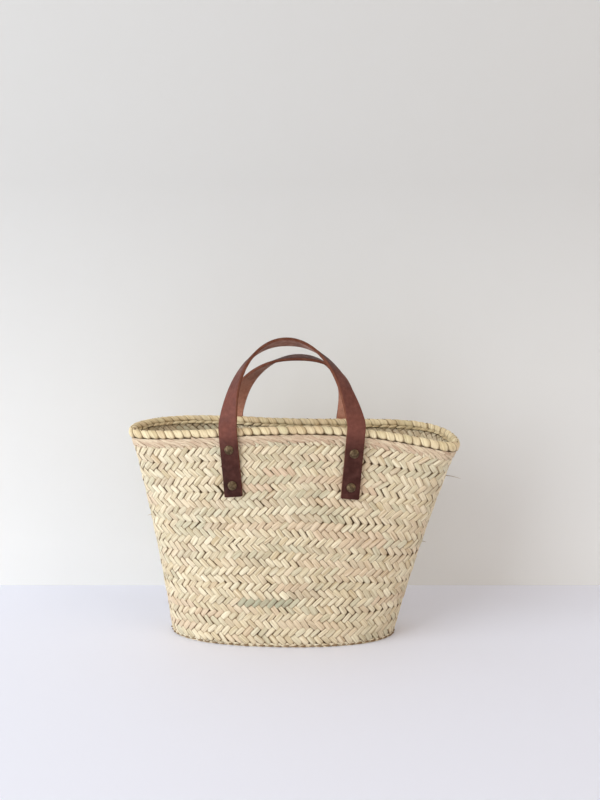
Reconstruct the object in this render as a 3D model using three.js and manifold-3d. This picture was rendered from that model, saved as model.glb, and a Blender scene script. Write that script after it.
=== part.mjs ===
// Woven palm-leaf market basket with two riveted leather strap handles.
// Millimetres. +X runs along the basket, -Y is its front, +Z is up, and it stands on z = 0.

import * as THREE from "three";
import { mergeVertices } from "three/addons/utils/BufferGeometryUtils.js";
import Module from "manifold-3d";

const wasm = await Module();
wasm.setup();

// ---------------------------------------------------------------- sizes

// Outline of the wall's outer face at the base and at the mouth
const BASE_LENGTH = 250;
const BASE_DEPTH = 132;
const BASE_SQUARENESS = 2.25; // 2 is an ellipse, more is squarer
const MOUTH_LENGTH = 360;
const MOUTH_DEPTH = 96;
const MOUTH_SQUARENESS = 2.15;
const MOUTH_OFFSET = 12.5; // the mouth's middle stands this far towards +X of the base's middle
const FLARE_CURVE = 0.2; // share of the flare that comes late, near the mouth

// Height of the rim: middle of the long sides, and how much lower the two ends are
const RIM_HEIGHT = 238;
const END_DROP = 11;

// The hand-made unevenness of the mouth, as waves round it: in depth, and in the rim's height
const MOUTH_WAVES = [
  { lobes: 2, size: -3.3, at: 0 },
  { lobes: 3, size: 6.8, at: 30 },
  { lobes: 4, size: 8, at: 36 },
];
const RIM_WAVES = [
  { lobes: 1, size: -4.2, at: 0 },
  { lobes: 3, size: 3, at: 41 },
];

// Plait: one strip wound round and laced edge to edge
const TURNS = 7;
const PLAIT_THICKNESS = 3.5;
const PLAIT_CROWN = 0.6; // each turn bulges this much outwards between its two seams
const LACING_DIAMETER = 2.4;

// Base
const BASE_THICKNESS = 4;
const BASE_EDGE_WIDTH = 6;
const BASE_EDGE_CHAMFER = 1;

// Rim roll, which straddles the top edge, and the twined band under it
const RIM_CROWN = 3;
const RIM_SIDE = 3;
const RIM_CLEARANCE = 0.7; // between the rim roll's two sides and the plait that it straddles
const RIM_ROLL_HEIGHT = 9;
const BAND_HEIGHT = 6.5;
const BAND_THICKNESS = 2.2;

// Leather straps
const STRAP_WIDTH = 20;
const STRAP_THICKNESS = 3.4;
const STRAP_CLEARANCE = 0.6; // to the crown of the plait that it is riveted to
const STRAP_END = 12.5; // strap left below the lower rivet
const LEG_SPLAY = 0.083; // sideways run of a leg for each millimetre of height
const FLEX_RISE = 2.5; // the strap bends this far above the rim roll
const FLEX_GAP = 4; // between the riveted tab and the loop, so that the loop can lean inwards
const FLEX_OUT = 1.6; // the bend's axis lies this far outside the strap's grain side
const TWIST_ROUNDING = 0.2; // how gently the loop's twist turns back at its top
const EARLY_TWIST = 0.2; // share of the twist that comes low on the loop's legs
const EARLY_POWER = 4; // how low that is, and how low the legs close in
// A rivet's depth is below the wall's top edge, in turns.
export const HANDLES = {
  front: {
    side: -1,
    centre: MOUTH_OFFSET + 0.4,
    legSpacing: 136.8,
    height: 89,
    squareness: 2.08,
    reach: 25, // the top stands this far towards the middle of the mouth
    shift: -7.5, // and this far towards +X
    closing: 4, // the loop's legs close in by this much each, just above the rim
    topTwist: 117,
    rivetDepths: { left: [0.59, 1.77], right: [0.72, 1.82] },
    colour: 0x5a3434,
  },
  back: {
    side: 1,
    centre: MOUTH_OFFSET - 8.2,
    legSpacing: 128.5,
    height: 67.4,
    squareness: 2.15,
    reach: 17,
    shift: 12,
    closing: 0,
    topTwist: 97,
    rivetDepths: { left: [0.55, 1.7], right: [0.55, 1.7] },
    colour: 0x6a4038,
  },
};

// Rivets: a domed head with its post outside, and a burr washer over the post inside
const RIVET_HEAD_DIAMETER = 10;
const RIVET_HEAD_HEIGHT = 2.6;
const RIVET_POST_DIAMETER = 3.2;
const BURR_DIAMETER = 8.5;
const BURR_HEIGHT = 1.4;
const BURR_CLEARANCE = 0.8; // to the inside of the plait, which isn't quite square to the rivet
const POST_CLEARANCE = 0.35;

// Gap between pieces that touch
const GAP = 0.3;

// Mesh fineness
const RING_STEPS = 56;
const LACING_SIDES = 4;
const STRAP_STEPS = 44;
const TAB_STEPS = 8;
const RIVET_STEPS = 12;

const BASE_TOP = BASE_THICKNESS + GAP;
const UP = new THREE.Vector3(0, 0, 1);

// ---------------------------------------------------------------- materials

const plaitMaterial = new THREE.MeshStandardMaterial({ color: 0xd9cba3, roughness: 0.75, metalness: 0 });
const lacingMaterial = new THREE.MeshStandardMaterial({ color: 0xb7a77c, roughness: 0.85, metalness: 0 });
const rimMaterial = new THREE.MeshStandardMaterial({ color: 0xcdb884, roughness: 0.7, metalness: 0 });
const bandMaterial = new THREE.MeshStandardMaterial({ color: 0xb98f78, roughness: 0.75, metalness: 0 });
const brassMaterial = new THREE.MeshStandardMaterial({ color: 0x7d6a4a, roughness: 0.45, metalness: 0.9 });

function leatherMaterial(colour) {
  return new THREE.MeshStandardMaterial({ color: colour, roughness: 0.6, metalness: 0 });
}

// ---------------------------------------------------------------- the wall's surface

function waveSum(waves, angle) {
  return waves.reduce((sum, wave) => {
    const phase = wave.lobes * (angle - THREE.MathUtils.degToRad(wave.at));
    return sum + wave.size * Math.cos(phase);
  }, 0);
}

function wallTop(angle) {
  return RIM_HEIGHT - END_DROP * Math.cos(angle) ** 2 + waveSum(RIM_WAVES, angle) - RIM_CROWN;
}

function wallHeight(angle) {
  return wallTop(angle) - BASE_TOP;
}

// A point of the wall's outer face; level is 0 at its foot and 1 at its top edge.
function wallFace(angle, level) {
  const flare = (1 - FLARE_CURVE) * level + FLARE_CURVE * level ** 2;
  const halfLength = THREE.MathUtils.lerp(BASE_LENGTH, MOUTH_LENGTH, flare) / 2;
  const halfDepth = THREE.MathUtils.lerp(BASE_DEPTH, MOUTH_DEPTH, level) / 2;
  const power = THREE.MathUtils.lerp(BASE_SQUARENESS, MOUTH_SQUARENESS, level);
  const cos = Math.cos(angle);
  const sin = Math.sin(angle);
  const spread = (Math.abs(cos) ** power + Math.abs(sin) ** power) ** (1 / power);
  return new THREE.Vector3(
    (halfLength * cos) / spread + MOUTH_OFFSET * level,
    (halfDepth * sin) / spread + waveSum(MOUTH_WAVES, angle) * level ** 2,
    BASE_TOP + wallHeight(angle) * level,
  );
}

function wallNormal(angle, level) {
  const step = 1e-3;
  const around = wallFace(angle + step, level).sub(wallFace(angle - step, level));
  const upwards = wallFace(angle, level + step).sub(wallFace(angle, level - step));
  return around.cross(upwards).normalize();
}

// A point "out" from the wall's face and "rise" above a level of it.
function wallPoint(angle, level, rise, out) {
  const place = level + rise / wallHeight(angle);
  return wallFace(angle, place).addScaledVector(wallNormal(angle, place), out);
}

// The same round the base, square to the ground.
function basePoint(angle, height, out) {
  const normal = wallNormal(angle, 0).setZ(0).normalize();
  return wallFace(angle, 0).setZ(height).addScaledVector(normal, out);
}

// The angle at which the wall's long side (-1 front, 1 back) has a given x at a level.
function angleAt(x, level, side) {
  let near = 0;
  let far = side * Math.PI;
  for (let i = 0; i < 40; i += 1) {
    const middle = (near + far) / 2;
    if (wallFace(middle, level).x > x) near = middle;
    else far = middle;
  }
  return (near + far) / 2;
}

// ---------------------------------------------------------------- mesh helpers

function meshOf(name, geometry, material) {
  const mesh = new THREE.Mesh(geometry, material);
  mesh.name = name;
  return mesh;
}

// Positions only, with shared corners, so that the surface is closed.
function weld(geometry) {
  const bare = new THREE.BufferGeometry();
  bare.setAttribute("position", geometry.getAttribute("position").clone());
  if (geometry.index) bare.setIndex(geometry.index.clone());
  const welded = mergeVertices(bare, 1e-4);
  welded.computeVertexNormals();
  return welded;
}

function solidOf(geometry) {
  const welded = weld(geometry);
  return new wasm.Manifold(
    new wasm.Mesh({
      numProp: 3,
      vertProperties: new Float32Array(welded.attributes.position.array),
      triVerts: new Uint32Array(welded.index.array),
    }),
  );
}

function geometryOf(solid) {
  const mesh = solid.getMesh();
  const geometry = new THREE.BufferGeometry();
  geometry.setAttribute("position", new THREE.BufferAttribute(mesh.vertProperties, 3));
  geometry.setIndex(new THREE.BufferAttribute(mesh.triVerts, 1));
  geometry.computeVertexNormals();
  return geometry;
}

function bore(geometry, cutters) {
  return geometryOf(cutters.reduce((solid, cutter) => solid.subtract(cutter), solidOf(geometry)));
}

// A closed ring: a lathed section whose points are then placed round the basket.
// The section's points are [a, b], and place(angle, a, b) gives where each one goes.
function ringGeometry(section, place) {
  const lift = 1000; // keeps the lathe's radius positive while it carries the section's first value
  const points = section.map(([a, b]) => new THREE.Vector2(lift + a, b));
  points.push(points[0].clone());
  const geometry = new THREE.LatheGeometry(points, RING_STEPS);
  const position = geometry.getAttribute("position");
  for (let i = 0; i < position.count; i += 1) {
    const row = i % points.length;
    const turn = Math.floor(i / points.length) % RING_STEPS;
    const angle = (turn / RING_STEPS) * 2 * Math.PI;
    const [a, b] = section[row % section.length];
    const spot = place(angle, a, b);
    position.setXYZ(i, spot.x, spot.y, spot.z);
  }
  return weld(geometry);
}

// A flat strip along frames { point, along, grain }: grain is the way its outer side faces.
function stripGeometry(frames, width, thickness) {
  const steps = frames.length - 1;
  const geometry = new THREE.BoxGeometry(width, thickness, steps, 1, 1, steps);
  const position = geometry.getAttribute("position");
  for (let i = 0; i < position.count; i += 1) {
    const frame = frames[Math.round(position.getZ(i) + steps / 2)];
    const across = new THREE.Vector3().crossVectors(frame.grain, frame.along).normalize();
    const spot = frame.point
      .clone()
      .addScaledVector(across, position.getX(i))
      .addScaledVector(frame.grain, position.getY(i));
    position.setXYZ(i, spot.x, spot.y, spot.z);
  }
  return weld(geometry);
}

// ---------------------------------------------------------------- base

function buildBase() {
  const outline = [];
  for (let i = 0; i < RING_STEPS; i += 1) {
    const spot = basePoint((i / RING_STEPS) * 2 * Math.PI, 0, -BASE_EDGE_WIDTH - GAP);
    outline.push(new THREE.Vector2(spot.x, spot.y));
  }
  const plate = new THREE.ExtrudeGeometry(new THREE.Shape(outline), {
    depth: BASE_THICKNESS,
    bevelEnabled: false,
  });
  const edgeSection = [
    [-BASE_EDGE_CHAMFER, 0],
    [0, BASE_EDGE_CHAMFER],
    [0, BASE_THICKNESS - BASE_EDGE_CHAMFER],
    [-BASE_EDGE_CHAMFER, BASE_THICKNESS],
    [-BASE_EDGE_WIDTH, BASE_THICKNESS],
    [-BASE_EDGE_WIDTH, 0],
  ];
  const edge = ringGeometry(edgeSection, (angle, out, height) => basePoint(angle, height, out));
  return [meshOf("base_plait", weld(plate), plaitMaterial), meshOf("base_edge_braid", edge, rimMaterial)];
}

// ---------------------------------------------------------------- wall

const SEAM = GAP / 2; // each turn stops this far short of the seam's middle
const GROOVE = (LACING_DIAMETER / 2 + GAP) * Math.SQRT2; // chamfer that clears the lacing

function turnSection(isFirst, isLast) {
  const foot = isFirst ? 0 : GROOVE;
  const head = isLast ? 0 : GROOVE;
  const section = [
    [0, 0, SEAM],
    [PLAIT_CROWN, 0.5, 0],
    [0, 1, -SEAM],
    [-PLAIT_THICKNESS + head, 1, -SEAM],
    [-PLAIT_THICKNESS, 1, -SEAM - head],
    [-PLAIT_THICKNESS, 0, SEAM + foot],
    [-PLAIT_THICKNESS + foot, 0, SEAM],
  ];
  return section.filter((corner, i) => !(isLast && i === 3) && !(isFirst && i === 6));
}

function buildTurn(turn, cutters) {
  const section = turnSection(turn === 0, turn === TURNS - 1);
  // The lathe carries each corner's number; its three values are looked up from that.
  const corners = section.map((corner, i) => [corner[0], i]);
  const geometry = ringGeometry(corners, (angle, out, i) => {
    const [, share, rise] = section[i];
    return wallPoint(angle, (turn + share) / TURNS, rise, out);
  });
  return meshOf(`wall_turn_${turn + 1}`, bore(geometry, cutters), plaitMaterial);
}

function circleSection(diameter) {
  return Array.from({ length: LACING_SIDES }, (_, i) => {
    const angle = (i / LACING_SIDES) * 2 * Math.PI;
    return [(Math.cos(angle) * diameter) / 2, (Math.sin(angle) * diameter) / 2];
  });
}

// The lacing lies in the groove on the inside of each seam; the lowest ties the wall to the base.
function buildLacing(seam) {
  const radius = LACING_DIAMETER / 2;
  const out = seam === 0 ? -PLAIT_THICKNESS - GAP - radius : -PLAIT_THICKNESS;
  const rise = seam === 0 ? radius + GAP : 0;
  const geometry = ringGeometry(circleSection(LACING_DIAMETER), (angle, a, b) =>
    wallPoint(angle, seam / TURNS, rise + b, out + a),
  );
  return meshOf(seam === 0 ? "base_lacing" : `seam_lacing_${seam}`, geometry, lacingMaterial);
}

// ---------------------------------------------------------------- rim

const RIM_OUTER = RIM_CLEARANCE + RIM_SIDE; // the rim roll's outer face, measured from the wall's
const RIM_INNER = -PLAIT_THICKNESS - RIM_CLEARANCE - RIM_SIDE;
const RIM_SKIRT = RIM_CROWN - RIM_ROLL_HEIGHT; // its lower edge, measured from the wall's top

function buildRim() {
  const soft = RIM_SIDE / 5;
  const section = [
    [RIM_CLEARANCE, RIM_SKIRT],
    [RIM_OUTER - soft, RIM_SKIRT],
    [RIM_OUTER, RIM_SKIRT / 2],
    [RIM_OUTER - soft, RIM_CROWN / 3],
    [RIM_CLEARANCE, RIM_CROWN],
    [-PLAIT_THICKNESS - RIM_CLEARANCE, RIM_CROWN],
    [RIM_INNER + soft, RIM_CROWN / 3],
    [RIM_INNER, RIM_SKIRT / 2],
    [RIM_INNER + soft, RIM_SKIRT],
    [-PLAIT_THICKNESS - RIM_CLEARANCE, RIM_SKIRT],
    [-PLAIT_THICKNESS - RIM_CLEARANCE, GAP],
    [RIM_CLEARANCE, GAP],
  ];
  const geometry = ringGeometry(section, (angle, out, rise) => wallPoint(angle, 1, rise, out));
  return meshOf("rim_roll", geometry, rimMaterial);
}

function buildBand() {
  const top = RIM_SKIRT - GAP;
  const inner = PLAIT_CROWN + GAP;
  const section = [
    [inner, top - BAND_HEIGHT],
    [inner + BAND_THICKNESS * 0.7, top - BAND_HEIGHT],
    [inner + BAND_THICKNESS, top - BAND_HEIGHT / 2],
    [inner + BAND_THICKNESS * 0.7, top],
    [inner, top],
  ];
  const geometry = ringGeometry(section, (angle, out, rise) => wallPoint(angle, 1, rise, out));
  return meshOf("twined_band", geometry, bandMaterial);
}

// ---------------------------------------------------------------- straps

const STRAP_OUT = PLAIT_CROWN + STRAP_CLEARANCE + STRAP_THICKNESS / 2; // strap's middle where riveted
const CREST_OUT = RIM_OUTER + GAP + STRAP_THICKNESS / 2; // and where it passes over the rim

// The levels of a leg's upper and lower rivets, whose burrs stay clear of the lacing at the seams.
function rivetLevels(handle, end) {
  const depths = handle.rivetDepths[end < 0 ? "left" : "right"];
  const turnHeight = (RIM_HEIGHT - BASE_TOP) / TURNS;
  const clear = (BURR_DIAMETER / 2 + LACING_DIAMETER / 2 + GAP) / turnHeight;
  return depths.map((depth) => {
    const turn = Math.floor(depth);
    return 1 - (turn + THREE.MathUtils.clamp(depth - turn, clear, 1 - clear)) / TURNS;
  });
}

// The sideways place of a leg's middle line at a height; end is -1 for the left leg, 1 for the right.
function legX(handle, end, height) {
  const splay = LEG_SPLAY * (RIM_HEIGHT - height);
  return handle.centre + end * (handle.legSpacing / 2 - splay);
}

function legAngle(handle, end, level) {
  const estimate = BASE_TOP + (RIM_HEIGHT - BASE_TOP) * level;
  return angleAt(legX(handle, end, estimate), level, handle.side);
}

// How far the tab's middle line stands out: against the plait at the lower rivet, then
// rising in a straight line to pass over the twined band and the rim roll.
function tabOut(handle, end, level) {
  const height = wallHeight(legAngle(handle, end, level));
  const from = rivetLevels(handle, end)[1] + RIVET_HEAD_DIAMETER / 2 / height;
  const to = 1 + RIM_SKIRT / height;
  const lifted = THREE.MathUtils.clamp((level - from) / (to - from), 0, 1);
  return THREE.MathUtils.lerp(STRAP_OUT, CREST_OUT, lifted);
}

function tabPoint(handle, end, level) {
  const angle = legAngle(handle, end, level);
  return wallPoint(angle, level, 0, tabOut(handle, end, level));
}

// A frame of the riveted tab's middle line, at a level of the wall.
function tabFrame(handle, end, level) {
  const step = 0.002;
  const point = tabPoint(handle, end, level);
  const along = tabPoint(handle, end, level + step).sub(tabPoint(handle, end, level - step)).normalize();
  const normal = wallNormal(legAngle(handle, end, level), level);
  const grain = normal.addScaledVector(along, -normal.dot(along)).normalize();
  return { point, along, grain };
}

// Where the loop starts on a leg: the top of its tab carried up past the rim.
function loopFoot(handle, end) {
  return wallPoint(legAngle(handle, end, 1), 1, RIM_CROWN + FLEX_RISE, CREST_OUT);
}

// The two ends of the axis that a handle folds about.
export function foldAxis(handle) {
  return [-1, 1].map((end) => {
    const out = CREST_OUT + STRAP_THICKNESS / 2 + FLEX_OUT;
    return wallPoint(legAngle(handle, end, 1), 1, RIM_CROWN + FLEX_RISE, out);
  });
}

function tabFrames(handle, end) {
  const angle = legAngle(handle, end, 1);
  const height = wallHeight(angle);
  const foot = rivetLevels(handle, end)[1] - STRAP_END / height;
  const head = 1 + (RIM_CROWN + FLEX_RISE - FLEX_GAP) / height;
  return Array.from({ length: TAB_STEPS + 1 }, (_, i) =>
    tabFrame(handle, end, THREE.MathUtils.lerp(foot, head, i / TAB_STEPS)),
  );
}

// How high a place on the loop is, from 0 at its ends to 1 at its top, and how far across;
// share runs from 0 at the left leg's bend to 1 at the right one's.
function loopPlace(handle, share) {
  const angle = Math.PI * (1 - share);
  const power = handle.squareness;
  const spread = (Math.abs(Math.cos(angle)) ** power + Math.sin(angle) ** power) ** (1 / power);
  return { across: (1 + Math.cos(angle) / spread) / 2, lift: Math.sin(angle) / spread };
}

// Rises from 0 to 1 mostly low on the loop's legs.
function lowRise(lift) {
  return 1 - (1 - lift) ** EARLY_POWER;
}

// Rises from 0 to 1 evenly along each half of the loop.
function evenRise(share) {
  const full = Math.hypot(1, TWIST_ROUNDING);
  return (full - Math.hypot(2 * share - 1, TWIST_ROUNDING)) / (full - TWIST_ROUNDING);
}

// The loop's middle line.
function loopPoint(handle, share) {
  const { across, lift } = loopPlace(handle, share);
  const sideways = handle.shift * lift + handle.closing * (1 - 2 * across) * lowRise(lift);
  return loopFoot(handle, -1)
    .lerp(loopFoot(handle, 1), across)
    .add(new THREE.Vector3(sideways, -handle.side * handle.reach * lift ** 1.5, handle.height * lift));
}

// The loop turns its edge up as it rises: its grain side faces out at the legs and up at the top.
function loopFrame(handle, share) {
  const step = 1e-3;
  const along = loopPoint(handle, Math.min(1, share + step))
    .sub(loopPoint(handle, Math.max(0, share - step)))
    .normalize();
  const outward = new THREE.Vector3(0, handle.side, 0);
  outward.addScaledVector(along, -outward.dot(along)).normalize();
  const away = new THREE.Vector3().crossVectors(along, outward).multiplyScalar(handle.side);
  const end = share < 0.5 ? -1 : 1;
  const legGrain = tabFrame(handle, end, 1).grain;
  const legTwist = Math.atan2(legGrain.dot(away), legGrain.dot(outward));
  const { lift } = loopPlace(handle, share);
  const twisted = THREE.MathUtils.lerp(evenRise(share), lowRise(lift), EARLY_TWIST);
  const twist = THREE.MathUtils.lerp(legTwist, THREE.MathUtils.degToRad(handle.topTwist), twisted);
  const grain = outward.multiplyScalar(Math.cos(twist)).addScaledVector(away, Math.sin(twist));
  return { point: loopPoint(handle, share), along, grain };
}

function buildStrap(name, handle, cutters) {
  const material = leatherMaterial(handle.colour);
  const tabs = [-1, 1].map((end) => {
    const geometry = stripGeometry(tabFrames(handle, end), STRAP_WIDTH, STRAP_THICKNESS);
    const side = end < 0 ? "left" : "right";
    return meshOf(`${name}_strap_${side}_tab`, bore(geometry, cutters), material);
  });
  const frames = Array.from({ length: STRAP_STEPS + 1 }, (_, i) => loopFrame(handle, i / STRAP_STEPS));
  return [...tabs, meshOf(`${name}_strap_loop`, stripGeometry(frames, STRAP_WIDTH, STRAP_THICKNESS), material)];
}

// ---------------------------------------------------------------- rivets

// A rivet stands square to the strap, with its own +Z outwards and its origin on the strap's middle.
function rivetPlaces() {
  const places = [];
  for (const [name, handle] of Object.entries(HANDLES)) {
    for (const end of [-1, 1]) {
      rivetLevels(handle, end).forEach((level, i) => {
        const { point, grain } = tabFrame(handle, end, level);
        const label = `${name}_${end < 0 ? "left" : "right"}_${i === 0 ? "upper" : "lower"}`;
        const depth = tabOut(handle, end, level) + PLAIT_THICKNESS;
        places.push({ label, point, grain, depth });
      });
    }
  }
  return places;
}

function placeOn(object, { point, grain }) {
  object.position.copy(point);
  object.quaternion.setFromUnitVectors(UP, grain);
  object.updateMatrixWorld(true);
  return object;
}

// A lathed piece whose axis is its own +Z.
function lathe(profile) {
  const points = profile.map(([radius, height]) => new THREE.Vector2(radius, height));
  return weld(new THREE.LatheGeometry(points, RIVET_STEPS).rotateX(Math.PI / 2));
}

function holeCutter(place) {
  const reach = 30;
  const radius = RIVET_POST_DIAMETER / 2 + POST_CLEARANCE;
  const cutter = new THREE.CylinderGeometry(radius, radius, reach, RIVET_STEPS).rotateX(Math.PI / 2);
  const placed = placeOn(new THREE.Mesh(cutter), place);
  return solidOf(cutter.applyMatrix4(placed.matrixWorld));
}

function buildRivet(place) {
  const head = RIVET_HEAD_DIAMETER / 2;
  const post = RIVET_POST_DIAMETER / 2;
  const seat = STRAP_THICKNESS / 2 + GAP;
  const burrSeat = -place.depth - BURR_CLEARANCE;
  const postEnd = burrSeat - BURR_HEIGHT - GAP;
  const outer = lathe([
    [0, postEnd],
    [post, postEnd],
    [post, seat],
    [head, seat],
    [head, seat + RIVET_HEAD_HEIGHT * 0.3],
    [head * 0.8, seat + RIVET_HEAD_HEIGHT * 0.75],
    [head * 0.4, seat + RIVET_HEAD_HEIGHT * 0.97],
    [0, seat + RIVET_HEAD_HEIGHT],
  ]);
  const burrHole = post + POST_CLEARANCE;
  const burr = BURR_DIAMETER / 2;
  const inner = lathe([
    [burrHole, burrSeat],
    [burrHole, burrSeat - BURR_HEIGHT],
    [burr * 0.8, burrSeat - BURR_HEIGHT],
    [burr, burrSeat - BURR_HEIGHT * 0.4],
    [burr, burrSeat],
    [burrHole, burrSeat],
  ]);
  return [
    placeOn(meshOf(`rivet_${place.label}`, outer, brassMaterial), place),
    placeOn(meshOf(`burr_${place.label}`, inner, brassMaterial), place),
  ];
}

// ---------------------------------------------------------------- assembly

const basket = new THREE.Group();
const places = rivetPlaces();
const cutters = places.map(holeCutter);

basket.add(...buildBase());
for (let turn = 0; turn < TURNS; turn += 1) {
  basket.add(buildLacing(turn));
  basket.add(buildTurn(turn, cutters));
}
basket.add(buildRim(), buildBand());
for (const [name, handle] of Object.entries(HANDLES)) {
  basket.add(...buildStrap(name, handle, cutters));
}
for (const place of places) {
  basket.add(...buildRivet(place));
}

export default basket;
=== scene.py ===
"""Woven palm-leaf market basket with two riveted leather strap handles.

Metres. +X runs along the basket, -Y is its front, +Z is up, and it stands on z = 0.
"""

import math

import bmesh
import bpy
import numpy as np
from mathutils import Matrix, Vector


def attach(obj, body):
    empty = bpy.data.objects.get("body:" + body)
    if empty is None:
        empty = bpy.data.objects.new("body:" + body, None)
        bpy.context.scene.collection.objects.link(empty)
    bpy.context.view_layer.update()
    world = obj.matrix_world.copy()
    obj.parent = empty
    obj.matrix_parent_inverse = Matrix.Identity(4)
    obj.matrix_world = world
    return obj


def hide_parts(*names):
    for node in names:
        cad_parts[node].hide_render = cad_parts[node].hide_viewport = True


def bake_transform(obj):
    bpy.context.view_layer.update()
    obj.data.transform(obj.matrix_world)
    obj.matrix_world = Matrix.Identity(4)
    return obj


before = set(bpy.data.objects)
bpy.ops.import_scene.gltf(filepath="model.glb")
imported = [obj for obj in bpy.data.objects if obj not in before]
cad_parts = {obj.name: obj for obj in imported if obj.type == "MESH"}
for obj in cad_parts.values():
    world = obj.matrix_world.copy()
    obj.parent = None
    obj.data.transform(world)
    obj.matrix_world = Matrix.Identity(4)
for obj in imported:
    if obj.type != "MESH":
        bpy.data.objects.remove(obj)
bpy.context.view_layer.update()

MM = 0.001
TURN = 2 * math.pi
FRONT = 1.5 * math.pi  # the angle of the middle of the front


# ---------------------------------------------------------------- camera


FOCAL_LENGTH = 63
SENSOR_WIDTH = 36
CAMERA_PLACE = (0.0991, -1.5254, 0.5043)
CAMERA_TILT = math.radians(81)
VIEW_TURN = math.radians(3)  # how far the camera and the backdrop are turned from straight ahead


def place_camera():
    lens = bpy.data.cameras.new("camera")
    lens.lens = FOCAL_LENGTH
    lens.sensor_width = SENSOR_WIDTH
    camera = bpy.data.objects.new("camera", lens)
    camera.location = CAMERA_PLACE
    camera.rotation_euler = (CAMERA_TILT, 0, VIEW_TURN)
    bpy.context.scene.collection.objects.link(camera)
    bpy.context.scene.camera = camera


place_camera()


# ---------------------------------------------------------------- sizes, as in the solid model

BASE_LENGTH = 250 * MM
BASE_DEPTH = 132 * MM
BASE_SQUARENESS = 2.25
MOUTH_LENGTH = 360 * MM
MOUTH_DEPTH = 96 * MM
MOUTH_SQUARENESS = 2.15
MOUTH_OFFSET = 12.5 * MM
FLARE_CURVE = 0.2
RIM_HEIGHT = 238 * MM
END_DROP = 11 * MM
MOUTH_WAVES = [(2, -3.3 * MM, 0), (3, 6.8 * MM, 30), (4, 8 * MM, 36)]
RIM_WAVES = [(1, -4.2 * MM, 0), (3, 3 * MM, 41)]
TURNS = 7
PLAIT_THICKNESS = 3.5 * MM
BASE_TOP = 4.3 * MM
BASE_EDGE = 6.3 * MM
RIM_CROWN = 3 * MM
RIM_OUTER = 3.7 * MM
RIM_SKIRT = -6 * MM
STRAP_WIDTH = 20 * MM
STRAP_THICKNESS = 3.4 * MM
STRAP_END = 12.5 * MM
STRAP_OUT = 2.9 * MM
CREST_OUT = 5.7 * MM
LEG_SPLAY = 0.083
FLEX_RISE = 2.5 * MM
FLEX_GAP = 4 * MM
FLEX_OUT = 1.6 * MM
TWIST_ROUNDING = 0.2
EARLY_TWIST = 0.2
EARLY_POWER = 4
RIVET_HEAD = 10 * MM
HANDLES = {
    "front": {
        "side": -1,
        "centre": 12.9 * MM,
        "leg_spacing": 136.8 * MM,
        "height": 89 * MM,
        "squareness": 2.08,
        "reach": 25 * MM,
        "shift": -7.5 * MM,
        "closing": 4 * MM,
        "top_twist": math.radians(117),
        "rivet_depths": {-1: (0.59, 1.77), 1: (0.72, 1.82)},
    },
    "back": {
        "side": 1,
        "centre": 4.3 * MM,
        "leg_spacing": 128.5 * MM,
        "height": 67.4 * MM,
        "squareness": 2.15,
        "reach": 17 * MM,
        "shift": 12 * MM,
        "closing": 0,
        "top_twist": math.radians(97),
        "rivet_depths": {-1: (0.55, 1.7), 1: (0.55, 1.7)},
    },
}

# Plait
LEAF_PITCH = 8.25 * MM  # from one leaf to the next along a row
LEAF_THICKNESS = 0.8 * MM
ROWS_PER_TURN = 4
ROWS = TURNS * ROWS_PER_TURN
BASE_LOW = 0.9 * MM  # heights of the base plait's lower and upper leaves
BASE_HIGH = 3.1 * MM
GROUND_CLEAR = 0.1 * MM  # how near the ground the leaves underneath may come
BRAID_CLEAR = 0.15 * MM  # the same for the outer side of the base edge braid
RING_STEPS = 180
DISC_STEPS = 120


# ---------------------------------------------------------------- the wall's surface


def blend_between(a, b, share):
    return a + (b - a) * share


def waves(parts, angle):
    return sum(size * np.cos(lobes * (angle - math.radians(at))) for lobes, size, at in parts)


def wall_top(angle):
    return RIM_HEIGHT - END_DROP * np.cos(angle) ** 2 + waves(RIM_WAVES, angle) - RIM_CROWN


def wall_height(angle):
    return wall_top(angle) - BASE_TOP


def wall_face(angle, level):
    """A point of the wall's outer face; level is 0 at its foot and 1 at its top edge."""
    flare = (1 - FLARE_CURVE) * level + FLARE_CURVE * level**2
    half_length = blend_between(BASE_LENGTH, MOUTH_LENGTH, flare) / 2
    half_depth = blend_between(BASE_DEPTH, MOUTH_DEPTH, level) / 2
    power = blend_between(BASE_SQUARENESS, MOUTH_SQUARENESS, level)
    cos, sin = np.cos(angle), np.sin(angle)
    spread = (np.abs(cos) ** power + np.abs(sin) ** power) ** (1 / power)
    x = half_length * cos / spread + MOUTH_OFFSET * level
    y = half_depth * sin / spread + waves(MOUTH_WAVES, angle) * level**2
    z = BASE_TOP + wall_height(angle) * level
    return np.stack(np.broadcast_arrays(x, y, z), -1)


def unit(vector):
    return vector / np.linalg.norm(vector, axis=-1, keepdims=True)


def wall_normal(angle, level):
    step = 1e-3
    around = wall_face(angle + step, level) - wall_face(angle - step, level)
    upwards = wall_face(angle, level + step) - wall_face(angle, level - step)
    return unit(np.cross(around, upwards))


def on_wall(angle, level, rise, out):
    """A point "out" from the wall's face and "rise" above a level of it."""
    angle, rise, out = np.broadcast_arrays(angle, rise, out)
    place = level + rise / wall_height(angle)
    return wall_face(angle, place) + wall_normal(angle, place) * out[..., None]


def by_the_foot(angle, height, out):
    """A point "out" from the wall's foot, square to the ground."""
    angle, height, out = np.broadcast_arrays(angle, height, out)
    normal = wall_normal(angle, 0.0)
    normal[..., 2] = 0
    point = wall_face(angle, 0.0) + unit(normal) * out[..., None]
    point[..., 2] = height
    return point


def in_the_base(angle, share, height):
    """A point of the base; share is 0 at the edge braid and 1 at the base's middle line."""
    angle, share, height = np.broadcast_arrays(angle, share, height)
    outer = by_the_foot(angle, height, -BASE_EDGE)
    middle = outer * np.array([0.5, 0, 1])
    return blend_between(outer, middle, share[..., None])


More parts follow.
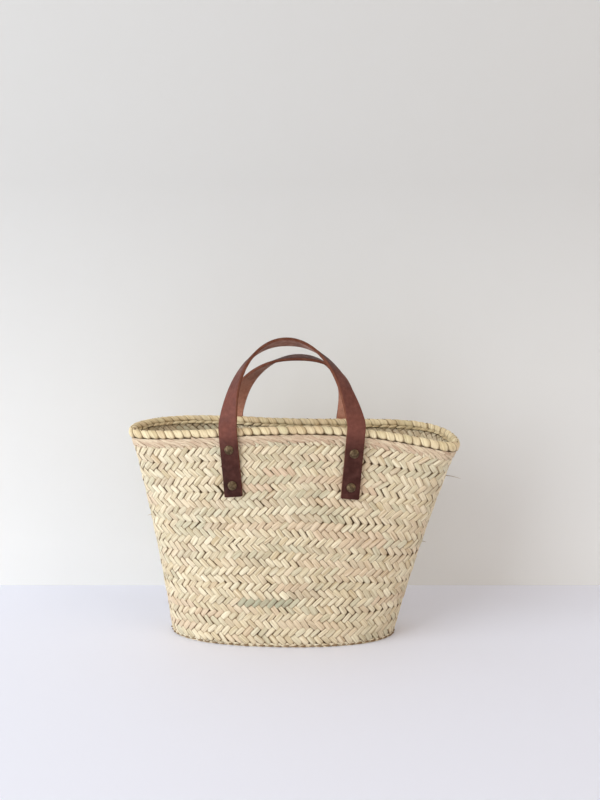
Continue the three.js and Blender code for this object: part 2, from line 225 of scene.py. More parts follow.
def walk_round(surface):
    """How far one has walked round the basket at each angle, starting at the middle of the front."""
    angle = FRONT + np.linspace(0, TURN, 1441)
    steps = np.linalg.norm(np.diff(surface(angle), axis=0), axis=1)
    return angle, np.concatenate([[0], np.cumsum(steps)])


# ---------------------------------------------------------------- surfaces that leaves are laid on

def row_wander(angle, level):
    """How far a row strays up or down as it goes round; nothing at the wall's foot and top."""
    drift = 0.9 * np.sin(3 * angle + 17 * level) + 0.7 * np.sin(7 * angle - 11 * level)
    return drift * MM * np.clip(12 * level * (1 - level), 0, 1)


# Each course maker returns how far it is round, and a function that lays flat points on the basket:
# x to the right along the row, y upwards and z towards whoever looks at it.


def wall_course(level, inside=False):
    angle, walked = walk_round(lambda a: wall_face(a, level))
    around = walked[-1]

    def lay(x, y, z):
        way = -x if inside else x
        here = np.interp(way % around, walked, angle)
        out = -PLAIT_THICKNESS - z if inside else z
        return on_wall(here, level, y + row_wander(here, level), out)

    return around, lay


def foot_course():
    angle, walked = walk_round(lambda a: by_the_foot(a, 0.0, 0.0))
    around = walked[-1]

    def lay(x, y, z):
        return by_the_foot(np.interp(x % around, walked, angle), np.maximum(y, BRAID_CLEAR), z)

    return around, lay


def base_course(share, height, below):
    """Rows of the base plait, seen from above or from below; y runs towards the base's middle line."""
    angle, walked = walk_round(lambda a: in_the_base(a, share, 0.0))
    around = walked[-1]
    half_depth = BASE_DEPTH / 2 - BASE_EDGE

    def lay(x, y, z):
        here = np.interp((-x if below else x) % around, walked, angle)
        place = np.clip(share + y / half_depth, -0.05, 1.03)
        return in_the_base(here, place, np.maximum(height - z, GROUND_CLEAR) if below else height + z)

    return around, lay


RIM_ROUNDNESS = 2.6
RIM_MIDDLE = -PLAIT_THICKNESS / 2
RIM_HALF = RIM_OUTER - RIM_MIDDLE - 0.9 * MM
RIM_TALL = RIM_CROWN - RIM_SKIRT - 0.8 * MM
RIM_WRAP = 26 * MM  # how much of a leaf's grain goes once over the section
RIM_PITCH = 9.7 * MM


def rim_arch(share, lift):
    """The rim roll's section, from its outer lower edge at 0 over the top to its inner one at 1."""
    angle = np.clip(share, 0, 1) * math.pi
    cos, sin = np.cos(angle), np.sin(angle)
    spread = (np.abs(cos) ** RIM_ROUNDNESS + sin**RIM_ROUNDNESS) ** (1 / RIM_ROUNDNESS)
    away_out = np.sign(cos) * np.abs(cos) ** (RIM_ROUNDNESS - 1) / RIM_HALF
    away_up = sin ** (RIM_ROUNDNESS - 1) / RIM_TALL
    length = np.hypot(away_out, away_up)
    out = RIM_MIDDLE + RIM_HALF * cos / spread + lift * away_out / length
    rise = RIM_SKIRT + RIM_TALL * sin / spread + lift * away_up / length
    return out, rise


# ---------------------------------------------------------------- blanks


def finished_mesh(name, shape):
    mesh = bpy.data.meshes.new(name)
    shape.to_mesh(mesh)
    shape.free()
    return mesh


def corners(mesh):
    flat = np.empty(len(mesh.vertices) * 3)
    mesh.vertices.foreach_get("co", flat)
    return flat.reshape(-1, 3)


def new_corners(bm_result):
    return [part for part in bm_result["geom"] if isinstance(part, bmesh.types.BMVert)]


def leaf_blank(name, across, along):
    """A closed strip of leaf, 1 across in x, 1 along in y, with its upper face at 0 and its lower at -1."""
    shape = bmesh.new()
    bmesh.ops.create_grid(shape, x_segments=across, y_segments=along, size=0.5)
    edge = [e for e in shape.edges if e.is_boundary]
    skirt = bmesh.ops.extrude_edge_only(shape, edges=edge)
    bmesh.ops.translate(shape, verts=new_corners(skirt), vec=(0, 0, -1))
    bmesh.ops.holes_fill(shape, edges=[e for e in shape.edges if e.is_boundary])
    bmesh.ops.recalc_face_normals(shape, faces=shape.faces)
    return finished_mesh(name, shape)


def ring_blank(name, section):
    """A closed ring of radius 1 with a section of (out, rise) corners."""
    shape = bmesh.new()
    loop = [shape.verts.new((1 + out, 0, rise)) for out, rise in section]
    for a, b in zip(loop, loop[1:] + loop[:1]):
        shape.edges.new((a, b))
    bmesh.ops.spin(
        shape,
        geom=shape.verts[:] + shape.edges[:],
        cent=(0, 0, 0),
        axis=(0, 0, 1),
        angle=TURN,
        steps=RING_STEPS,
        use_merge=True,
        use_duplicate=False,
    )
    bmesh.ops.recalc_face_normals(shape, faces=shape.faces)
    return finished_mesh(name, shape)


def disc_blank(name):
    """A closed disc of radius 1 and height 1."""
    shape = bmesh.new()
    bmesh.ops.create_circle(shape, segments=DISC_STEPS, radius=1, cap_ends=True)
    lifted = bmesh.ops.extrude_face_region(shape, geom=shape.faces[:])
    bmesh.ops.translate(shape, verts=new_corners(lifted), vec=(0, 0, 1))
    bmesh.ops.recalc_face_normals(shape, faces=shape.faces)
    return finished_mesh(name, shape)


PLAIT_LEAF = leaf_blank("plait_leaf", 4, 6)
SLIM_LEAF = leaf_blank("slim_leaf", 2, 5)
RIM_LEAF = leaf_blank("rim_leaf", 4, 14)


# ---------------------------------------------------------------- courses of leaves


class Course:
    """One row of like leaves: the blank it repeats, and each copy's corners, grain and colour."""

    def __init__(self, blank, spots, size, dye, material=0):
        self.blank = blank
        self.count = spots.shape[0]
        self.spots = spots
        self.material = material
        flat = corners(blank)
        loops = np.empty(len(blank.loops), dtype=int)
        blank.loops.foreach_get("vertex_index", loops)
        start = dye[:, 0:1] * 37.0 + np.arange(self.count)[:, None] * 0.173
        across = flat[loops, 0][None, :] * size[0] + start % 1.7
        along = flat[loops, 1][None, :] * size[1] + (start * 3.1) % 2.3
        self.grain = np.stack([across, along], -1)
        self.dye = np.repeat(dye[:, None, :], len(flat), axis=1)
        # The edge mask also carries painted shade at leaf ends and undersides.
        self.edge = np.tile(leaf_edge_and_painted_shade(flat), (self.count, 1))


def leaf_edge_and_painted_shade(flat):
    """0 along the middle of a leaf and 1 at its edges and underside: partly the leaf's browned edges, partly
    painted shade where leaf ends dive under their neighbours and beneath each leaf.
    """
    side = 0.88 * np.abs(2 * flat[:, 0]) ** 4
    end = np.abs(2 * flat[:, 1]) ** 5
    return np.where(flat[:, 2] < -0.5, 1.0, np.clip(side + end, 0, 1))


def plain_dye(count, seed, spread=0.6):
    """Each leaf's own shade, then how green and how pink it is, and 1."""
    chance = np.random.default_rng(seed)
    shade = np.clip(0.5 + spread * 0.5 * chance.standard_normal(count), 0, 1)
    green = np.clip(0.19 * chance.standard_normal(count), 0, 0.4)
    pink = np.clip(0.17 * chance.standard_normal(count), 0, 0.4)
    return np.stack([shade, green, pink, np.ones(count)], -1)


def add_run(dye, first, leaves, column, strength):
    """Colours some neighbouring leaves of a row, as one long leaf that comes up again and again does."""
    picked = np.arange(first, first + leaves) % len(dye)
    dye[picked, column] = np.maximum(dye[picked, column], strength)


def leaf_course(blank, centres, lay, dye, seed, *, slant, width, length, rise=0.0, lift=0.0,
                crown=0.5 * MM, dive=1.3 * MM, visible=0.6, taper=0.12, jitter=1.0):
    """Leaves side by side along a row, each crowned across and diving under its neighbours."""
    chance = np.random.default_rng(seed)
    flat = corners(blank)
    across, along, low = flat[:, 0], flat[:, 1], flat[:, 2] < -0.5
    along = np.sign(along) * 0.5 * np.abs(2 * along) ** 0.6
    count = len(centres)

    def vary(amount):
        return amount * jitter * np.clip(chance.standard_normal((count, 1)), -2, 2)

    turned = slant + math.radians(3.2) * vary(1)
    wide = width * (1 + vary(0.08)) * (1 - taper * np.abs(2 * along) ** 4)
    long = length * (1 + vary(0.035))
    x = centres[:, None] + vary(0.2 * MM)
    x = x + across * wide * np.sin(turned) + along * long * np.cos(turned)
    y = rise + vary(0.12 * MM) - across * wide * np.cos(turned) + along * long * np.sin(turned)
    ending = np.clip((np.abs(2 * along) - visible) / (1 - visible), 0, 1)
    z = lift + vary(0.08 * MM) + crown * (1 - np.abs(2 * across) ** 2.6) - dive * ending**1.5
    z = z + (0.1 * MM + vary(0.12 * MM)) * 2 * across + vary(0.08 * MM) * 2 * along
    z = np.where(low, z - LEAF_THICKNESS, z)
    return Course(blank, lay(x, y, z), (width, length), dye)


CORE_SIZE = (0.5, 0.5)


def core_dye(shade=0.3):
    """The dye of a core, a plain shape that closes the gaps behind the leaves."""
    return np.array([[shade, 0.1, 0.1, 1.0]])


def ring_course(section, place, shade=0.3, material=1):
    """A core that runs round the basket, from a section of (out, rise) corners."""
    blank = ring_blank("ring", section)
    flat = corners(blank)
    angle = np.arctan2(flat[:, 1], flat[:, 0])
    out = np.hypot(flat[:, 0], flat[:, 1]) - 1
    spots = place(angle, out, flat[:, 2])
    return Course(blank, spots[None], CORE_SIZE, core_dye(shade), material)


def end_to_end(courses, kind, width):
    """One kind of value of every course, copy after copy, in one flat list."""
    values = [getattr(course, kind).reshape(-1, width) for course in courses]
    return np.concatenate(values).astype(np.float32).ravel()


def weave(name, courses, materials, body, nodes):
    """Makes one piece of all its courses, which stands for the solid model's nodes, if any."""
    shape = bmesh.new()
    for course in courses:
        for _ in range(course.count):
            shape.from_mesh(course.blank)
    mesh = finished_mesh(name, shape)
    mesh.vertices.foreach_set("co", end_to_end(courses, "spots", 3))
    grain = mesh.uv_layers.new(name="leaf_grain")
    grain.data.foreach_set("uv", end_to_end(courses, "grain", 2))
    dye = mesh.attributes.new("leaf_dye", "FLOAT_COLOR", "POINT")
    dye.data.foreach_set("color", end_to_end(courses, "dye", 4))
    edge = mesh.attributes.new("leaf_edge_and_painted_shade", "FLOAT", "POINT")
    edge.data.foreach_set("value", end_to_end(courses, "edge", 1))
    finish = np.concatenate([np.full(c.count * len(c.blank.polygons), c.material) for c in courses])
    for material in materials:
        mesh.materials.append(material)
    mesh.polygons.foreach_set("material_index", finish.astype(np.int32))
    mesh.polygons.foreach_set("use_smooth", np.ones(len(mesh.polygons), dtype=bool))
    mesh.update()
    piece = bpy.data.objects.new(name, mesh)
    bpy.context.scene.collection.objects.link(piece)
    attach(piece, body)
    if nodes:
        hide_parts(*nodes)
    return piece


# ---------------------------------------------------------------- node groups


def group(name, inputs, outputs):
    """An empty shader node group; inputs and outputs are (name, kind, value)."""
    made = bpy.data.node_groups.new(name, "ShaderNodeTree")
    for label, kind, value in inputs:
        socket = made.interface.new_socket(name=label, in_out="INPUT", socket_type=kind)
        if value is not None:
            socket.default_value = value
    for label, kind in outputs:
        made.interface.new_socket(name=label, in_out="OUTPUT", socket_type=kind)
    return made, made.nodes.new("NodeGroupInput"), made.nodes.new("NodeGroupOutput")


NOISE_ROUGHNESS = 0.55


class Bench:
    """Short names for adding and joining nodes in one tree."""

    def __init__(self, tree):
        self.tree = tree

    def add(self, kind, **settings):
        node = self.tree.nodes.new("ShaderNode" + kind)
        for key, value in settings.items():
            if hasattr(node, key):
                setattr(node, key, value)
            else:
                node.inputs[key.replace("_", " ")].default_value = value
        return node

    def join(self, source, target):
        self.tree.links.new(source, target)

    def maths(self, operation, first, second, clamp=False):
        node = self.tree.nodes.new("ShaderNodeMath")
        node.operation = operation
        node.use_clamp = clamp
        for socket, value in zip(node.inputs, (first, second)):
            self.feed(value, socket)
        return node.outputs[0]

    def feed(self, value, socket):
        if isinstance(value, bpy.types.NodeSocket):
            self.join(value, socket)
        else:
            socket.default_value = value

    def mix(self, share, first, second):
        node = self.tree.nodes.new("ShaderNodeMix")
        node.data_type = "RGBA"
        for index, value in ((0, share), (6, first), (7, second)):
            self.feed(value, node.inputs[index])
        return node.outputs[2]

    def remap(self, value, low, high, to_low=0.0, to_high=1.0):
        node = self.tree.nodes.new("ShaderNodeMapRange")
        self.feed(value, node.inputs["Value"])
        ends = {"From Min": low, "From Max": high, "To Min": to_low, "To Max": to_high}
        for label, number in ends.items():
            node.inputs[label].default_value = number
        return node.outputs["Result"]

    def stretch(self, vector, scale):
        node = self.tree.nodes.new("ShaderNodeMapping")
        self.join(vector, node.inputs["Vector"])
        node.inputs["Scale"].default_value = scale
        return node.outputs["Vector"]

    def noise(self, vector, scale, detail):
        node = self.tree.nodes.new("ShaderNodeTexNoise")
        self.join(vector, node.inputs["Vector"])
        node.inputs["Scale"].default_value = scale
        node.inputs["Detail"].default_value = detail
        node.inputs["Roughness"].default_value = NOISE_ROUGHNESS
        return node.outputs["Fac"]


def leaf_fibre_group():
    """Fine fibres that run along a leaf, and the odd brown fleck."""
    made, given, result = group(
        "leaf_fibre",
        [("Leaf", "NodeSocketVector", None)],
        [("Fibre", "NodeSocketFloat"), ("Tone", "NodeSocketFloat"), ("Fleck", "NodeSocketFloat")],
    )
    bench = Bench(made)
    fine = bench.noise(bench.stretch(given.outputs["Leaf"], (1700, 55, 1)), 1.0, 3)
    broad = bench.noise(bench.stretch(given.outputs["Leaf"], (420, 38, 1)), 1.0, 2)
    spot = bench.noise(bench.stretch(given.outputs["Leaf"], (260, 150, 1)), 1.0, 2)
    fibre = bench.maths("ADD", bench.maths("MULTIPLY", fine, 0.6), bench.maths("MULTIPLY", broad, 0.4))
    bench.join(bench.remap(fibre, 0.3, 0.7), result.inputs["Fibre"])
    bench.join(bench.remap(broad, 0.3, 0.7), result.inputs["Tone"])
    bench.join(bench.remap(spot, 0.66, 0.78), result.inputs["Fleck"])
    return made


def leather_grain_group():
    """Pores and creases for the height, and soft mottling for the colour."""
    made, given, result = group(
        "leather_grain",
        [("Strap", "NodeSocketVector", None), ("Pore size", "NodeSocketFloat", 1.0)],
        [("Height", "NodeSocketFloat"), ("Mottle", "NodeSocketFloat"), ("Cloud", "NodeSocketFloat")],
    )
    bench = Bench(made)
    pores = bench.add("TexVoronoi")
    bench.join(given.outputs["Strap"], pores.inputs["Vector"])
    bench.join(bench.maths("MULTIPLY", given.outputs["Pore size"], 900.0), pores.inputs["Scale"])
    mottle = bench.noise(given.outputs["Strap"], 260.0, 4)
    cloud = bench.noise(bench.stretch(given.outputs["Strap"], (0.6, 1, 1)), 34.0, 3)
    pits = bench.maths("MULTIPLY", pores.outputs["Distance"], 0.6)
    height = bench.maths("ADD", pits, bench.maths("MULTIPLY", mottle, 0.6))
    bench.join(height, result.inputs["Height"])
    bench.join(bench.remap(mottle, 0.3, 0.7), result.inputs["Mottle"])
    bench.join(bench.remap(cloud, 0.32, 0.68), result.inputs["Cloud"])
    return made


def handling_wear_group():
    """Patches that hands have rubbed, and fine scuffs."""
    made, given, result = group(
        "handling_wear",
        [("Place", "NodeSocketVector", None), ("Patch size", "NodeSocketFloat", 60.0)],
        [("Rubbed", "NodeSocketFloat"), ("Scuff", "NodeSocketFloat")],
    )
    bench = Bench(made)
    patch = bench.add("TexNoise", Detail=4.0)
    bench.join(given.outputs["Place"], patch.inputs["Vector"])
    bench.join(given.outputs["Patch size"], patch.inputs["Scale"])
    scuff = bench.noise(bench.stretch(given.outputs["Place"], (900, 160, 400)), 1.0, 2)
    bench.join(bench.remap(patch.outputs["Fac"], 0.45, 0.7), result.inputs["Rubbed"])
    bench.join(bench.remap(scuff, 0.5, 0.75), result.inputs["Scuff"])
    return made


LEAF_FIBRE = leaf_fibre_group()
LEATHER_GRAIN = leather_grain_group()
HANDLING_WEAR = handling_wear_group()


# ---------------------------------------------------------------- materials


def new_material(name):
    material = bpy.data.materials.new(name)
    material.use_nodes = True
    return material, Bench(material.node_tree), material.node_tree.nodes["Principled BSDF"]


def place_group(bench, made):
    node = bench.tree.nodes.new("ShaderNodeGroup")
    node.node_tree = made
    return node


def bump(bench, height, distance, strength, shader):
    node = bench.add("Bump")
    node.inputs["Strength"].default_value = strength
    node.inputs["Distance"].default_value = distance
    bench.join(height, node.inputs["Height"])
    bench.join(node.outputs["Normal"], shader.inputs["Normal"])


def leaf_material(name, pale, deep, green, pink, edge, *, roughness, edge_and_shade_share=0.75, fibre_share=0.5):
    """Dried palm leaf between pale and deep, with greenish and pinkish leaves, and edges darkened partly as
    browned leaf and partly as painted shade in the slits between leaves.
    """
    material, bench, shader = new_material(name)
    grain = bench.add("UVMap", uv_map="leaf_grain")
    fibre = place_group(bench, LEAF_FIBRE)
    bench.join(grain.outputs["UV"], fibre.inputs["Leaf"])
    dye = bench.add("Attribute", attribute_name="leaf_dye")
    own = bench.add("SeparateColor")
    bench.join(dye.outputs["Color"], own.inputs["Color"])
    side = bench.add("Attribute", attribute_name="leaf_edge_and_painted_shade")
    tone = bench.maths("MULTIPLY", fibre.outputs["Tone"], fibre_share)
    shade = bench.maths("MULTIPLY", own.outputs["Red"], 1 - fibre_share)
    tone = bench.maths("ADD", tone, shade, clamp=True)
    colour = bench.mix(tone, deep, pale)
    colour = bench.mix(own.outputs["Green"], colour, green)
    colour = bench.mix(own.outputs["Blue"], colour, pink)
    lines = bench.remap(fibre.outputs["Fibre"], 0.0, 0.55, 0.45, 0.0)
    colour = bench.mix(lines, colour, edge)
    colour = bench.mix(bench.maths("MULTIPLY", fibre.outputs["Fleck"], 0.3), colour, edge)
    # Painted shade: leaf sides, ends and undersides are darkened towards the edge colour, partly for browned
    # leaf edges and partly for the shade in the slits between leaves.
    edge_and_painted_shade = bench.remap(side.outputs["Fac"], 0.42, 0.95, 0.0, edge_and_shade_share)
    colour = bench.mix(edge_and_painted_shade, colour, edge)
    bench.join(colour, shader.inputs["Base Color"])
    rough = bench.remap(fibre.outputs["Fibre"], 0.0, 1.0, roughness + 0.12, roughness - 0.08)
    bench.join(rough, shader.inputs["Roughness"])
    bump(bench, fibre.outputs["Fibre"], 0.0003, 0.8, shader)
    shader.inputs["Specular IOR Level"].default_value = 0.35
    return material


# Dark brown for browned leaf edges, fibre lines and flecks, and for the painted shade in the slits between
# leaves.
STRAW_EDGE_AND_SHADE = (0.17, 0.085, 0.028, 1)
PALM_LEAF = leaf_material(
    "dried_palm_leaf",
    pale=(0.95, 0.87, 0.67, 1),
    deep=(0.60, 0.46, 0.26, 1),
    green=(0.45, 0.44, 0.31, 1),
    pink=(0.67, 0.47, 0.33, 1),
    edge=STRAW_EDGE_AND_SHADE,
    edge_and_shade_share=0.9,
    roughness=0.52,
    fibre_share=0.6,
)
PALM_CORE = leaf_material(
    "shaded_palm_leaf",
    pale=(0.22, 0.15, 0.075, 1),
    deep=(0.12, 0.075, 0.035, 1),
    green=(0.12, 0.11, 0.06, 1),
    pink=(0.17, 0.08, 0.05, 1),
    edge=(0.07, 0.045, 0.02, 1),
    roughness=0.8,
)
RIM_PALM = leaf_material(
    "rim_palm_leaf",
    pale=(0.93, 0.82, 0.56, 1),
    deep=(0.66, 0.50, 0.27, 1),
    green=(0.56, 0.50, 0.29, 1),
    pink=(0.64, 0.45, 0.28, 1),
    edge=STRAW_EDGE_AND_SHADE,
    roughness=0.5,
)
BAND_PALM = leaf_material(
    "pink_dyed_palm_leaf",
    pale=(0.82, 0.69, 0.50, 1),
    deep=(0.54, 0.38, 0.26, 1),
    green=(0.74, 0.65, 0.45, 1),
    pink=(0.50, 0.29, 0.20, 1),
    edge=(0.24, 0.12, 0.06, 1),
    roughness=0.6,
)
CORD_PALM = leaf_material(
    "twisted_palm_cord",
    pale=(0.60, 0.48, 0.28, 1),
    deep=(0.36, 0.26, 0.12, 1),
    green=(0.36, 0.34, 0.18, 1),
    pink=(0.46, 0.30, 0.17, 1),
    edge=(0.18, 0.11, 0.045, 1),
    roughness=0.7,
)


LEATHER_GLOSS = 0.09
HAND_PATCH = 110.0


def leather_material(name, dark, warm, rubbed, *, roughness, pore_size, pore_depth, sheen=0.0):
    """Waxed leather: clouded between dark and warm, lighter where hands have rubbed it."""
    material, bench, shader = new_material(name)
    flat = bench.add("UVMap", uv_map="strap_grain")
    grain = place_group(bench, LEATHER_GRAIN)
    grain.inputs["Pore size"].default_value = pore_size
    wear = place_group(bench, HANDLING_WEAR)
    wear.inputs["Patch size"].default_value = HAND_PATCH
    bench.join(flat.outputs["UV"], grain.inputs["Strap"])
    bench.join(flat.outputs["UV"], wear.inputs["Place"])
    stretch = bench.add("Attribute", attribute_name="strap_stretch")
    cloud = bench.maths("MULTIPLY", grain.outputs["Cloud"], 0.3)
    stretched = bench.maths("MULTIPLY", stretch.outputs["Fac"], 0.85)
    cloud = bench.maths("ADD", cloud, stretched, clamp=True)
    colour = bench.mix(cloud, dark, warm)
    colour = bench.mix(bench.maths("MULTIPLY", wear.outputs["Rubbed"], 0.45), colour, rubbed)
    colour = bench.mix(bench.maths("MULTIPLY", grain.outputs["Mottle"], 0.32), colour, dark)
    bench.join(colour, shader.inputs["Base Color"])
    rough = bench.maths("ADD", bench.maths("MULTIPLY", grain.outputs["Mottle"], 0.16), roughness)
    rough = bench.maths("SUBTRACT", rough, bench.maths("MULTIPLY", wear.outputs["Rubbed"], 0.1))
    bench.join(rough, shader.inputs["Roughness"])
    bump(bench, grain.outputs["Height"], pore_depth, 0.5, shader)
    shader.inputs["Sheen Weight"].default_value = sheen
    shader.inputs["Specular IOR Level"].default_value = LEATHER_GLOSS
    return material


STRAP_GRAIN = leather_material(
    "waxed_strap_leather",
    dark=(0.022, 0.006, 0.005, 1),
    warm=(0.26, 0.092, 0.068, 1),
    rubbed=(0.13, 0.052, 0.044, 1),
    roughness=0.44,
    pore_size=1.0,
    pore_depth=0.0002,
)
STRAP_FLESH = leather_material(
    "strap_flesh_side",
    dark=(0.14, 0.042, 0.019, 1),
    warm=(0.58, 0.28, 0.20, 1),
    rubbed=(0.52, 0.28, 0.21, 1),
    roughness=0.72,
    pore_size=0.6,
    pore_depth=0.0004,
    sheen=0.15,
)
STRAP_EDGE = leather_material(
    "strap_cut_edge",
    dark=(0.10, 0.033, 0.02, 1),
    warm=(0.22, 0.08, 0.048, 1),
    rubbed=(0.26, 0.12, 0.075, 1),
    roughness=0.6,
    pore_size=1.6,
    pore_depth=0.00025,
)


def brass_material():
    material, bench, shader = new_material("aged_brass")
    place = bench.add("TexCoord")
    wear = place_group(bench, HANDLING_WEAR)
    wear.inputs["Patch size"].default_value = 260.0
    bench.join(place.outputs["Object"], wear.inputs["Place"])
    colour = bench.mix(wear.outputs["Rubbed"], (0.10, 0.066, 0.036, 1), (0.20, 0.14, 0.08, 1))
    colour = bench.mix(bench.maths("MULTIPLY", wear.outputs["Scuff"], 0.25), colour, (0.4, 0.3, 0.18, 1))
    bench.join(colour, shader.inputs["Base Color"])
    rough = bench.remap(wear.outputs["Rubbed"], 0.0, 1.0, 0.62, 0.4)
    bench.join(rough, shader.inputs["Roughness"])
    shader.inputs["Metallic"].default_value = 0.85
    bump(bench, wear.outputs["Scuff"], 0.00004, 0.3, shader)
    return material


AGED_BRASS = brass_material()


# ---------------------------------------------------------------- wall

STRIP_WIDTH = LEAF_PITCH / math.sqrt(2)
STRIP_LENGTH = STRIP_WIDTH * 2.5
WALL_SWELL = 0.6 * MM  # how far a turn stands out half way between its seams
WALL_CORE = (-2.7 * MM, -0.9 * MM)
LACING_PITCH = 3.6 * MM
RISING = math.radians(45)
FALLING = math.radians(-45)

SAGE, ROSE = 1, 2  # where a leaf's dye says how green and how pink it is

# Leaves of one colour side by side: row, metres right of the middle, leaves, colour, strength
FRONT_RUNS = [
    (5, -0.045, 7, SAGE, 0.95),
    (6, 0.01, 4, SAGE, 0.45),
    (5, 0.01, 2, SAGE, 0.6),
    (20, -0.05, 4, ROSE, 0.6),
    (20, 0.03, 6, ROSE, 0.35),
    (22, -0.025, 4, ROSE, 0.65),
    (21, 0.018, 6, ROSE, 0.55),
    (20, 0.055, 5, ROSE, 0.6),
    (15, -0.08, 8, ROSE, 0.4),
    (14, 0.03, 9, ROSE, 0.5),
    (18, -0.07, 10, SAGE, 0.35),
    (21, -0.05, 8, SAGE, 0.35),
    (19, -0.05, 12, SAGE, 0.3),
    (7, 0.0, 4, ROSE, 0.5),
    (10, 0.02, 10, ROSE, 0.35),
    (12, -0.02, 8, SAGE, 0.4),
    (13, 0.07, 6, ROSE, 0.5),
    (23, 0.1, 9, SAGE, 0.35),
]


def row_dye(row, count, inside):
    chance = np.random.default_rng(500 + row + 100 * inside)
    dye = plain_dye(count, 900 + row + 100 * inside, 0.42)
    for _ in range(max(3, count // 14)):
        column = SAGE if chance.random() < 0.5 else ROSE
        first, leaves = int(chance.integers(count)), int(chance.integers(2, 9))
        add_run(dye, first, leaves, column, chance.uniform(0.15, 0.5))
    if not inside:
        for at_row, at, leaves, column, strength in FRONT_RUNS:
            if at_row == row:
                add_run(dye, round(at / LEAF_PITCH), leaves, column, strength)
    return dye


def wall_row(row, count, inside):
    """Even rows fall to the right and odd rows rise, which makes the herringbone."""
    level = (row + 0.5) / ROWS
    around, lay = wall_course(level, inside)
    pitch = around / count
    falling = row % 2 == 0
    centres = (np.arange(count) + (0.25 if falling else -0.25)) * pitch
    within = (row % ROWS_PER_TURN + 0.5) / ROWS_PER_TURN
    bulge = WALL_SWELL * (1 - (2 * within - 1) ** 2)
    return leaf_course(
        PLAIT_LEAF,
        centres,
        lay,
        row_dye(row, count, inside),
        seed=row + 100 * inside,
        slant=FALLING if falling else RISING,
        width=pitch / math.sqrt(2) * 1.1,
        length=STRIP_LENGTH,
        lift=0.1 * MM + bulge,
        visible=0.52,
        taper=0.2,
        jitter=1.35,
    )


def build_wall():
    for turn in range(TURNS):
        middle = wall_course((turn + 0.5) / TURNS)[0]
        count = round(middle / LEAF_PITCH)
        rows = range(turn * ROWS_PER_TURN, (turn + 1) * ROWS_PER_TURN)
        courses = [wall_row(row, count, inside) for inside in (False, True) for row in rows]
        inner, outer = WALL_CORE
        section = [(inner, 0), (outer, 0), (outer, 1), (inner, 1)]

        def place(a, out, share, turn=turn):
            return on_wall(a, (turn + share) / TURNS, 0.0, out)

        courses.append(ring_course(section, place))
        name = f"wall_turn_{turn + 1}"
        weave(f"plaited_{name}", courses, [PALM_LEAF, PALM_CORE], "basket", [name])


def build_lacing():
    """The twisted cord that laces each turn to the next, seen inside."""
    for seam in range(TURNS):
        around, lay = wall_course(seam / TURNS, inside=True)
        count = round(around / LACING_PITCH)
        courses = []
        for ply in range(2):
            centres = (np.arange(count) + ply * 0.5) * around / count
            courses.append(
                leaf_course(
                    SLIM_LEAF,
                    centres,
                    lay,
                    plain_dye(count, 40 + seam, 0.6),
                    seed=60 + seam,
                    slant=math.radians(-32),
                    width=1.5 * MM,
                    length=5.4 * MM,
                    rise=1.5 * MM if seam == 0 else 0.0,
                    lift=0.55 * MM,
                    crown=0.45 * MM,
                    dive=0.9 * MM,
                    visible=0.2,
                    jitter=0.7,
                )
            )
        name = "base_lacing" if seam == 0 else f"seam_lacing_{seam}"
        weave(f"twisted_{name}", courses, [CORD_PALM], "basket", [name])


# ---------------------------------------------------------------- rim


def rim_lobes(count, pitch, around_to_angle, seed, *, start, end, lean, lift, width, pointed):
    """Leaves that wrap over the rim from share start to share end of its section, leaning as they go."""
    chance = np.random.default_rng(seed)
    flat = corners(RIM_LEAF)
    across, along, low = flat[:, 0], flat[:, 1] + 0.5, flat[:, 2] < -0.5

    def vary(amount):
        return amount * np.clip(chance.standard_normal((count, 1)), -2, 2)

    tip = np.clip((pointed - along) / pointed, 0, 1)
    tail = np.clip((along - 1 + pointed / 2) / (pointed / 2), 0, 1)
    rounding = np.sqrt(np.clip(1 - tip**2.2, 0.03, 1)) * np.sqrt(np.clip(1 - tail**2.2, 0.03, 1))
    wide = width * (1 + vary(0.08)) * rounding
    x = np.arange(count)[:, None] * pitch + vary(0.3 * MM)
    x = x + across * wide - lean * (along - 0.25)
    crown = 0.75 * MM * (1 - np.abs(2 * across) ** 2.6)
    ends = 0.9 * MM * tip**2 + 1.4 * MM * tail**2
    z = lift + vary(0.12 * MM) + crown - ends + 0.3 * MM * 2 * across
    z = np.where(low, z - 0.9 * MM, z)
    share = start + (end - start) * along + vary(0.012)
    out, rise = rim_arch(share, z)
    spots = on_wall(around_to_angle(x), 1.0, rise, out)
    dye = plain_dye(count, seed + 7, 0.5)
    length = (end - start) * RIM_WRAP
    return Course(RIM_LEAF, spots, (width, length), dye)


def build_rim():
    angle, walked = walk_round(lambda a: wall_face(a, 1.0))
    around = walked[-1]
    count = round(around / RIM_PITCH)
    pitch = around / count

    def to_angle(x):
        return np.interp(x % around, walked, angle)

    over = rim_lobes(count, pitch, to_angle, 11, start=0.0, end=0.92, lean=12 * MM, lift=0.2 * MM,
                     width=pitch * 1.22, pointed=0.2)
    under = rim_lobes(count, pitch, to_angle, 12, start=0.84, end=1.0, lean=-4.5 * MM, lift=-0.3 * MM,
                      width=pitch * 1.1, pointed=0.4)
    shares = np.linspace(0, 1, 12)
    outs, rises = rim_arch(shares, np.full(12, -0.9 * MM))
    section = list(zip(outs, rises))
    core = ring_course(section, lambda a, out, rise: on_wall(a, 1.0, rise, out))
    weave("braided_rim_roll", [over, under, core], [RIM_PALM, PALM_CORE], "basket", ["rim_roll"])


BAND_PITCH = 7.5 * MM
BAND_STRANDS = (-7.9 * MM, -9.6 * MM, -11.2 * MM)
BAND_CORE = [(0.4 * MM, -12.4 * MM), (1.1 * MM, -12.4 * MM), (1.1 * MM, -6.6 * MM), (0.4 * MM, -6.6 * MM)]


